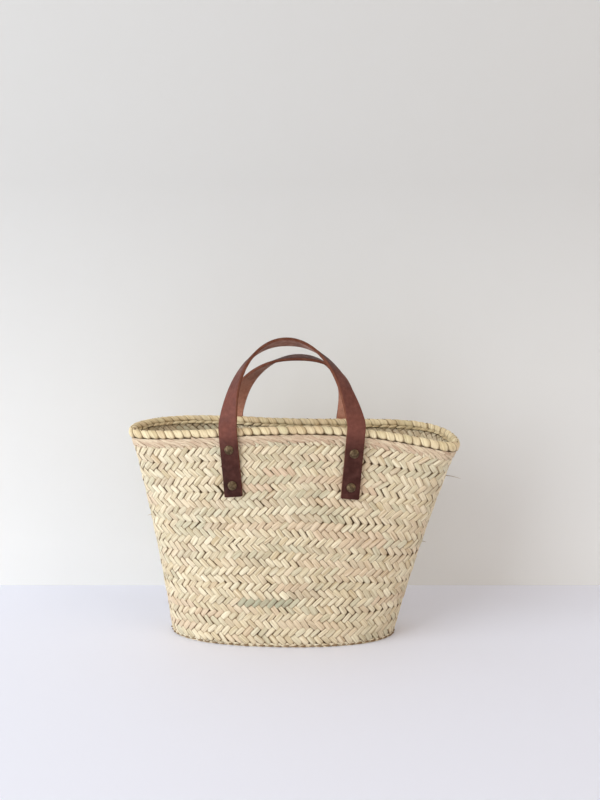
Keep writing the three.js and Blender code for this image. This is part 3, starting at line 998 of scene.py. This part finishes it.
def build_band():
    """Thin pink leaves twisted round the basket just under the rim."""
    around, lay = wall_course(1.0)
    count = round(around / BAND_PITCH)
    pitch = around / count
    courses = []
    for strand, rise in enumerate(BAND_STRANDS):
        centres = (np.arange(count) + strand * 0.37) * pitch
        courses.append(
            leaf_course(
                PLAIT_LEAF,
                centres,
                lay,
                plain_dye(count, 70 + strand, 0.7),
                seed=80 + strand,
                slant=math.radians(-17 - 4 * strand),
                width=3.5 * MM,
                length=19 * MM,
                rise=rise,
                lift=1.5 * MM,
                crown=0.4 * MM,
                dive=1.0 * MM,
                visible=0.35,
                taper=0.45,
                jitter=1.9,
            )
        )
    courses.append(ring_course(BAND_CORE, lambda a, out, rise: on_wall(a, 1.0, rise, out), material=0))
    weave("twined_pink_band", courses, [BAND_PALM, PALM_CORE], "basket", ["twined_band"])


# ---------------------------------------------------------------- base


BASE_RINGS = 8
BASE_CORE = (1.3 * MM, 2.7 * MM)  # heights of its lower and upper faces
EDGE_PITCH = 9.0 * MM
EDGE_STRANDS = (1.25 * MM, 2.9 * MM)
EDGE_CORE = [(-6 * MM, 1.1 * MM), (-1.3 * MM, 1.1 * MM), (-1.0 * MM, 1.6 * MM), (-1.0 * MM, 3.4 * MM),
             (-6 * MM, 3.1 * MM)]


def build_base():
    courses = []
    for below in (False, True):
        for ring in range(BASE_RINGS):
            around, lay = base_course((ring + 0.5) / BASE_RINGS, BASE_LOW if below else BASE_HIGH, below)
            count = max(8, round(around / LEAF_PITCH))
            pitch = around / count
            falling = ring % 2 == 0
            courses.append(
                leaf_course(
                    PLAIT_LEAF,
                    (np.arange(count) + (0.25 if falling else -0.25)) * pitch,
                    lay,
                    row_dye(40 + ring, count, below),
                    seed=200 + ring + 20 * below,
                    slant=FALLING if falling else RISING,
                    width=STRIP_WIDTH * 0.96,
                    length=STRIP_LENGTH,
                    lift=0.3 * MM,
                    jitter=0.8,
                )
            )
    disc = disc_blank("base_core")
    flat = corners(disc)
    angle = np.arctan2(flat[:, 1], flat[:, 0])
    spots = in_the_base(angle, 0.0, blend_between(*BASE_CORE, flat[:, 2]))
    courses.append(Course(disc, spots[None], CORE_SIZE, core_dye(), 1))
    weave("plaited_base", courses, [PALM_LEAF, PALM_CORE], "basket", ["base_plait"])


def build_base_edge():
    """The thin braid round the foot, on its outer side and underneath."""
    around, lay = foot_course()
    count = round(around / EDGE_PITCH)
    pitch = around / count
    shared = dict(width=2.6 * MM, length=14 * MM, crown=0.35 * MM, dive=0.9 * MM, visible=0.5, taper=0.35,
                  jitter=1.2)
    courses = []
    for strand, rise in enumerate(EDGE_STRANDS):
        centres = (np.arange(count) + strand * 0.5) * pitch
        slant = math.radians(-13 if strand else 13)
        dye = plain_dye(count, 300 + strand, 0.4)
        dye[:, 0] = np.clip(dye[:, 0] + 0.4, 0, 1)
        courses.append(
            leaf_course(PLAIT_LEAF, centres, lay, dye, seed=310 + strand, slant=slant, rise=rise,
                        lift=-0.4 * MM, **shared)
        )

    def lay_below(x, y, z):
        spot = lay(-x, 0.0 * x, -4.0 * MM + y)
        spot[..., 2] = np.maximum(BASE_LOW - z, GROUND_CLEAR)
        return spot

    def lay_above(x, y, z):
        spot = lay(x, 0.0 * x, -4.6 * MM - y)
        spot[..., 2] = BASE_HIGH + z
        return spot

    for side, (layer, rise) in enumerate(((lay_below, 0.0), (lay_below, 2.4 * MM), (lay_above, 0.0))):
        centres = (np.arange(count) + side * 0.5) * pitch
        slant = math.radians(-20 if side == 1 else 20)
        courses.append(
            leaf_course(SLIM_LEAF, centres, layer, plain_dye(count, 320 + side, 0.7), seed=330 + side,
                        slant=slant, rise=rise, lift=0.1 * MM, **shared)
        )
    courses.append(ring_course(EDGE_CORE, lambda a, out, height: by_the_foot(a, height, out), shade=0.9))
    weave("base_edge_plait", courses, [PALM_LEAF, PALM_CORE], "basket", ["base_edge_braid"])


# ---------------------------------------------------------------- straps


LEG_STEPS = 26
LOOP_STEPS = 120
SMOOTHING_PASSES = 14
CORNER_ROUNDING = 1.6 * MM
EDGE_ROUNDING = 0.7 * MM
CUP_DEPTH = 0.25 * MM  # how far a strap's sides curl back


def angle_at(x, level, side):
    """The angle at which the wall's long side has a given x at a level."""
    near, far = 0.0, side * math.pi
    for _ in range(40):
        middle = (near + far) / 2
        if wall_face(middle, level)[0] > x:
            near = middle
        else:
            far = middle
    return (near + far) / 2


def leg_angle(handle, end, level):
    height = BASE_TOP + (RIM_HEIGHT - BASE_TOP) * level
    splay = LEG_SPLAY * (RIM_HEIGHT - height)
    x = handle["centre"] + end * (handle["leg_spacing"] / 2 - splay)
    return angle_at(x, level, handle["side"])


def rivet_levels(handle, end):
    """The levels of a leg's upper and lower rivets."""
    return [1 - depth / TURNS for depth in handle["rivet_depths"][end]]


def tab_out(handle, end, level):
    height = wall_height(leg_angle(handle, end, level))
    start = rivet_levels(handle, end)[1] + RIVET_HEAD / 2 / height
    crest = 1 + RIM_SKIRT / height
    lifted = min(1.0, max(0.0, (level - start) / (crest - start)))
    return blend_between(STRAP_OUT, CREST_OUT, lifted)


def tab_point(handle, end, level):
    angle = leg_angle(handle, end, level)
    return on_wall(angle, level, 0.0, tab_out(handle, end, level))


def tab_frame(handle, end, level):
    """The strap's middle line on the wall, which way it runs up, and which way its grain side faces."""
    step = 0.002
    along = unit(tab_point(handle, end, level + step) - tab_point(handle, end, level - step))
    normal = wall_normal(leg_angle(handle, end, level), level)
    grain = unit(normal - along * (normal @ along))
    return tab_point(handle, end, level), along, grain


def loop_foot(handle, end, out=CREST_OUT):
    return on_wall(leg_angle(handle, end, 1.0), 1.0, RIM_CROWN + FLEX_RISE, out)


def loop_place(handle, share):
    """How far across the loop a place is, and how high; share is 0 at the left leg and 1 at the right one."""
    angle = math.pi * (1 - share)
    power = handle["squareness"]
    cos, sin = math.cos(angle), max(0.0, math.sin(angle))
    spread = (abs(cos) ** power + sin**power) ** (1 / power)
    return (1 + cos / spread) / 2, sin / spread


def low_rise(lift):
    """Rises from 0 to 1 mostly low on the loop's legs."""
    return 1 - (1 - lift) ** EARLY_POWER


def even_rise(share):
    """Rises from 0 to 1 evenly along each half of the loop."""
    full = math.hypot(1, TWIST_ROUNDING)
    return (full - math.hypot(2 * share - 1, TWIST_ROUNDING)) / (full - TWIST_ROUNDING)


def loop_point(handle, share):
    """The loop's middle line."""
    across, lift = loop_place(handle, share)
    foot = blend_between(loop_foot(handle, -1), loop_foot(handle, 1), across)
    sideways = handle["shift"] * lift + handle["closing"] * (1 - 2 * across) * low_rise(lift)
    return foot + np.array([sideways, -handle["side"] * handle["reach"] * lift**1.5, handle["height"] * lift])


def loop_frame(handle, share):
    step = 1e-3
    along = unit(loop_point(handle, min(1, share + step)) - loop_point(handle, max(0, share - step)))
    outward = np.array([0.0, handle["side"], 0.0])
    outward = unit(outward - along * (outward @ along))
    away = np.cross(along, outward) * handle["side"]
    leg_grain = tab_frame(handle, -1 if share < 0.5 else 1, 1.0)[2]
    leg_twist = math.atan2(leg_grain @ away, leg_grain @ outward)
    lift = loop_place(handle, share)[1]
    twisted = blend_between(even_rise(share), low_rise(lift), EARLY_TWIST)
    twist = blend_between(leg_twist, handle["top_twist"], twisted)
    return loop_point(handle, share), along, outward * math.cos(twist) + away * math.sin(twist)


def strap_path(handle):
    """The whole strap from its left end over the loop to its right end, one frame each millimetre."""
    legs = {}
    for end in (-1, 1):
        height = wall_height(leg_angle(handle, end, 1.0))
        foot = rivet_levels(handle, end)[1] - STRAP_END / height
        head = 1 + (RIM_CROWN + FLEX_RISE - FLEX_GAP) / height
        legs[end] = [tab_frame(handle, end, level) for level in np.linspace(foot, head, LEG_STEPS)]
    loop = [loop_frame(handle, share) for share in np.linspace(0.004, 0.996, LOOP_STEPS)]
    frames = legs[-1] + loop + legs[1][::-1]
    points = np.array([f[0] for f in frames])
    grains = np.array([f[2] for f in frames])
    walked = np.concatenate([[0], np.cumsum(np.linalg.norm(np.diff(points, axis=0), axis=1))])
    even = np.linspace(0, walked[-1], round(walked[-1] / MM) + 1)
    points = np.stack([np.interp(even, walked, points[:, i]) for i in range(3)], -1)
    grains = np.stack([np.interp(even, walked, grains[:, i]) for i in range(3)], -1)
    for _ in range(SMOOTHING_PASSES):
        points[1:-1] = (points[:-2] + 2 * points[1:-1] + points[2:]) / 4
        grains[1:-1] = (grains[:-2] + 2 * grains[1:-1] + grains[2:]) / 4
    along = unit(np.gradient(points, axis=0))
    grains = unit(grains - along * np.sum(grains * along, axis=1, keepdims=True))
    return points, along, grains


def strap_blank(length, steps):
    """A flat strap along y with rounded edges, its grain side up and its end corners taken off."""
    shape = bmesh.new()
    bmesh.ops.create_cube(shape, size=1)
    bmesh.ops.scale(shape, verts=shape.verts, vec=(STRAP_WIDTH, length, STRAP_THICKNESS))
    bmesh.ops.translate(shape, verts=shape.verts, vec=(0, length / 2, 0))
    upright = [e for e in shape.edges if abs(e.verts[0].co.z - e.verts[1].co.z) > 1e-6]
    bmesh.ops.bevel(shape, geom=upright, offset=CORNER_ROUNDING, affect="EDGES", segments=3, profile=0.5,
                    material=-1)
    flat_edges = [e for e in shape.edges if abs(e.verts[0].co.z - e.verts[1].co.z) < 1e-6]
    bmesh.ops.bevel(shape, geom=flat_edges, offset=EDGE_ROUNDING, affect="EDGES", segments=3, profile=0.5,
                    material=-1)
    margin = 3 * MM
    for y in np.linspace(margin, length - margin, steps):
        bmesh.ops.bisect_plane(shape, geom=shape.verts[:] + shape.edges[:] + shape.faces[:],
                               plane_co=(0, y, 0), plane_no=(0, 1, 0))
    for x in (-5 * MM, 0, 5 * MM):
        bmesh.ops.bisect_plane(shape, geom=shape.verts[:] + shape.edges[:] + shape.faces[:],
                               plane_co=(x, 0, 0), plane_no=(1, 0, 0))
    bmesh.ops.recalc_face_normals(shape, faces=shape.faces)
    return finished_mesh("strap", shape)


def build_strap(name, handle):
    points, along, grain = strap_path(handle)
    length = (len(points) - 1) * MM
    mesh = strap_blank(length, round(length / (2.5 * MM)))
    flat = corners(mesh)
    loops = np.empty(len(mesh.loops), dtype=int)
    mesh.loops.foreach_get("vertex_index", loops)
    grain_map = mesh.uv_layers.new(name="strap_grain")
    spread = flat[loops][:, :2] + flat[loops][:, 2:3] * 0.7
    grain_map.data.foreach_set("uv", spread.astype(np.float32).ravel())
    for material in (STRAP_GRAIN, STRAP_FLESH, STRAP_EDGE):
        mesh.materials.append(material)
    for face in mesh.polygons:
        if abs(face.normal.z) < 0.8:
            face.material_index = 2
        else:
            face.material_index = 0 if face.normal.z > 0 else 1
        face.use_smooth = True
    row = np.clip(flat[:, 1] / MM, 0, len(points) - 1)
    number = np.arange(len(points))

    def pick(values):
        return np.stack([np.interp(row, number, values[:, i]) for i in range(3)], -1)

    across = unit(np.cross(pick(along), pick(grain)))
    thinned = flat[:, 2] * 0.94
    cupped = -CUP_DEPTH * (2 * flat[:, 0] / STRAP_WIDTH) ** 2
    spots = pick(points) + across * flat[:, 0:1] + unit(pick(grain)) * (thinned + cupped)[:, None]
    mesh.vertices.foreach_set("co", spots.astype(np.float32).ravel())
    above = points[:, 2] - RIM_HEIGHT
    heights = [-24 * MM, -4 * MM, 0.5 * handle["height"], handle["height"]]
    stretched = np.interp(above, heights, [0, 0.75, 0.65, 0.05])
    attribute = mesh.attributes.new("strap_stretch", "FLOAT", "POINT")
    attribute.data.foreach_set("value", np.interp(row, number, stretched).astype(np.float32))
    mesh.update()
    strap = bpy.data.objects.new(f"{name}_leather_strap", mesh)
    bpy.context.scene.collection.objects.link(strap)
    ends = [loop_foot(handle, end, CREST_OUT + STRAP_THICKNESS / 2 + FLEX_OUT) for end in (-1, 1)]
    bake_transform(strap)
    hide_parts(f"{name}_strap_left_tab", f"{name}_strap_right_tab", f"{name}_strap_loop")


# ---------------------------------------------------------------- rivets


def turned_piece(name, profile, closed, place, grain):
    """A piece turned about its own axis from (radius, height) corners, standing on the strap."""
    shape = bmesh.new()
    line = [shape.verts.new((radius * MM, 0, height * MM)) for radius, height in profile]
    pairs = list(zip(line, line[1:]))
    if closed:
        pairs.append((line[-1], line[0]))
    for a, b in pairs:
        shape.edges.new((a, b))
    bmesh.ops.spin(shape, geom=shape.verts[:] + shape.edges[:], cent=(0, 0, 0), axis=(0, 0, 1), angle=TURN,
                   steps=40, use_merge=True, use_duplicate=False)
    bmesh.ops.remove_doubles(shape, verts=shape.verts, dist=1e-6)
    bmesh.ops.recalc_face_normals(shape, faces=shape.faces)
    turn = Vector((0, 0, 1)).rotation_difference(Vector(grain)).to_matrix().to_4x4()
    bmesh.ops.transform(shape, matrix=Matrix.Translation(Vector(place)) @ turn, verts=shape.verts)
    mesh = finished_mesh(name, shape)
    mesh.materials.append(AGED_BRASS)
    for face in mesh.polygons:
        face.use_smooth = True
    piece = bpy.data.objects.new(name, mesh)
    bpy.context.scene.collection.objects.link(piece)
    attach(piece, "basket")
    return piece


BURR_PLAY = 0.8  # millimetres, as the profiles below
BURR_THICKNESS = 1.4


def build_rivets():
    for name, handle in HANDLES.items():
        for end, side in ((-1, "left"), (1, "right")):
            for place, level in zip(("upper", "lower"), rivet_levels(handle, end)):
                point, _, grain = tab_frame(handle, end, level)
                label = f"{name}_{side}_{place}"
                depth = tab_out(handle, end, level) / MM
                seat = -depth - PLAIT_THICKNESS / MM - BURR_PLAY
                foot = seat - BURR_THICKNESS - 0.3
                head = [(0, foot - 0.1), (0.9, foot), (1.6, foot + 0.35), (1.6, 1.4), (4.5, 1.4),
                        (4.9, 1.65), (5.0, 2.05), (4.85, 2.4), (4.45, 2.6), (4.2, 2.62), (3.9, 2.9),
                        (3.2, 3.4), (2.3, 3.85), (1.2, 4.15), (0, 4.25)]
                washer = [(1.75, seat), (1.75, seat - 1.2), (2.1, seat - BURR_THICKNESS), (3.5, seat - 1.35),
                          (4.05, seat - 1.0), (4.25, seat - 0.5), (4.2, seat)]
                rivet = turned_piece(f"brass_rivet_{label}", head, False, point, grain)
                burr = turned_piece(f"brass_burr_{label}", washer, True, point, grain)
                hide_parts(f"rivet_{label}")
                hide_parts(f"burr_{label}")


# ---------------------------------------------------------------- stray fibre

FIBRE_WIDTH = 0.8 * MM

# Angle, row, and how far a fibre stands off in millimetres
STRAY_FIBRES = [
    (0.03, 23.0, 19),
    (-0.02, 13.2, 6),
    (-2.9, 16.3, 6),
    (2.7, 9.1, 5),
    (-0.6, 19.0, 5),
    (1.2, 12.0, 6),
]


def build_stray_fibres():
    """A few split leaf ends that stand off the plait."""
    flat = corners(SLIM_LEAF)
    side, along, low = flat[:, 0:1], flat[:, 1:2] + 0.5, flat[:, 2:3] < -0.5
    courses = []
    for number, (angle, row, reach) in enumerate(STRAY_FIBRES):
        out = wall_normal(angle, row / ROWS)
        around = unit(np.cross((0, 0, 1), out))
        width = FIBRE_WIDTH * (1 - 0.75 * along)
        droop = 0.3 * reach * MM * along * (1 - 0.6 * along)
        spots = on_wall(angle, row / ROWS, 0.0, 0.3 * MM) + along * reach * MM * out
        spots = spots + np.array([0, 0, 1]) * (side * width + droop) - around * (low * 0.6 * width)
        dye = plain_dye(1, 700 + number, 0.3)
        courses.append(Course(SLIM_LEAF, spots[None], (FIBRE_WIDTH, reach * MM), dye))
    weave("stray_leaf_fibres", courses, [RIM_PALM], "basket", [])


# ---------------------------------------------------------------- studio


def floor_material():
    material, _, shader = new_material("pale_floor")
    shader.inputs["Base Color"].default_value = (0.83, 0.845, 0.95, 1)
    shader.inputs["Roughness"].default_value = 0.6
    return material


def backdrop_material():
    """Pale paper with painted shade that darkens it higher up, where the light falls off, and clear from
    behind.
    """
    material, bench, shader = new_material("pale_backdrop")
    place = bench.add("TexCoord")
    split = bench.add("SeparateXYZ")
    bench.join(place.outputs["Object"], split.inputs["Vector"])
    # Painted shade: the colour falls from 0.82 near the floor to 0.60 higher up, standing in for the light
    # falling off.
    low, high = (0.82, 0.82, 0.81, 1), (0.60, 0.595, 0.585, 1)
    shade = bench.mix(bench.remap(split.outputs["Z"], 0.05, 0.5), low, high)
    bench.join(shade, shader.inputs["Base Color"])
    shader.inputs["Roughness"].default_value = 0.9
    facing = bench.add("NewGeometry")
    clear = bench.add("BsdfTransparent")
    choice = bench.add("MixShader")
    bench.join(facing.outputs["Backfacing"], choice.inputs[0])
    bench.join(shader.outputs[0], choice.inputs[1])
    bench.join(clear.outputs[0], choice.inputs[2])
    bench.join(choice.outputs[0], material.node_tree.nodes["Material Output"].inputs["Surface"])
    return material


def stage_plane(name, size, matrix, material):
    shape = bmesh.new()
    bmesh.ops.create_grid(shape, x_segments=1, y_segments=1, size=size, matrix=matrix)
    mesh = finished_mesh(name, shape)
    mesh.materials.append(material)
    plane = bpy.data.objects.new(name, mesh)
    bpy.context.scene.collection.objects.link(plane)


def area_light(name, location, target, size, power, colour):
    light = bpy.data.lights.new(name, "AREA")
    light.shape = "SQUARE"
    light.size = size
    light.energy = power
    light.color = colour
    lamp = bpy.data.objects.new(name, light)
    lamp.location = location
    lamp.rotation_euler = (Vector(target) - Vector(location)).to_track_quat("-Z", "Y").to_euler()
    bpy.context.scene.collection.objects.link(lamp)


FLOOR_SIZE = 12
BACKDROP_SIZE = 6
BACKDROP_PLACE = (0.0102, 0.1712, 0)
ROOM_COLOUR = (1.0, 0.935, 0.86, 1)
ROOM_STRENGTH = 0.55


def build_studio():
    stage_plane("floor", FLOOR_SIZE, Matrix.Identity(4), floor_material())
    upright = Matrix.Translation(BACKDROP_PLACE) @ Matrix.Rotation(VIEW_TURN, 4, "Z")
    upright = upright @ Matrix.Rotation(math.radians(90), 4, "X")
    stage_plane("backdrop", BACKDROP_SIZE, upright, backdrop_material())
    area_light("window", location=(-2.0, -1.6, 1.0), target=(0, 0, 0.05), size=2.6, power=70,
               colour=(0.91, 0.965, 1.0))
    area_light("bounce", location=(1.8, -1.1, 1.3), target=(0.45, 0.1, 0.1), size=1.8, power=11,
               colour=(1.0, 0.88, 0.74))
    world = bpy.data.worlds.new("room")
    world.use_nodes = True
    sky = world.node_tree.nodes["Background"]
    sky.inputs["Color"].default_value = ROOM_COLOUR
    sky.inputs["Strength"].default_value = ROOM_STRENGTH
    bpy.context.scene.world = world
    bpy.context.scene.view_settings.view_transform = "Standard"


build_wall()
build_lacing()
build_rim()
build_band()
build_base()
build_base_edge()
for strap_name, strap_handle in HANDLES.items():
    build_strap(strap_name, strap_handle)
build_rivets()
build_stray_fibres()
build_studio()
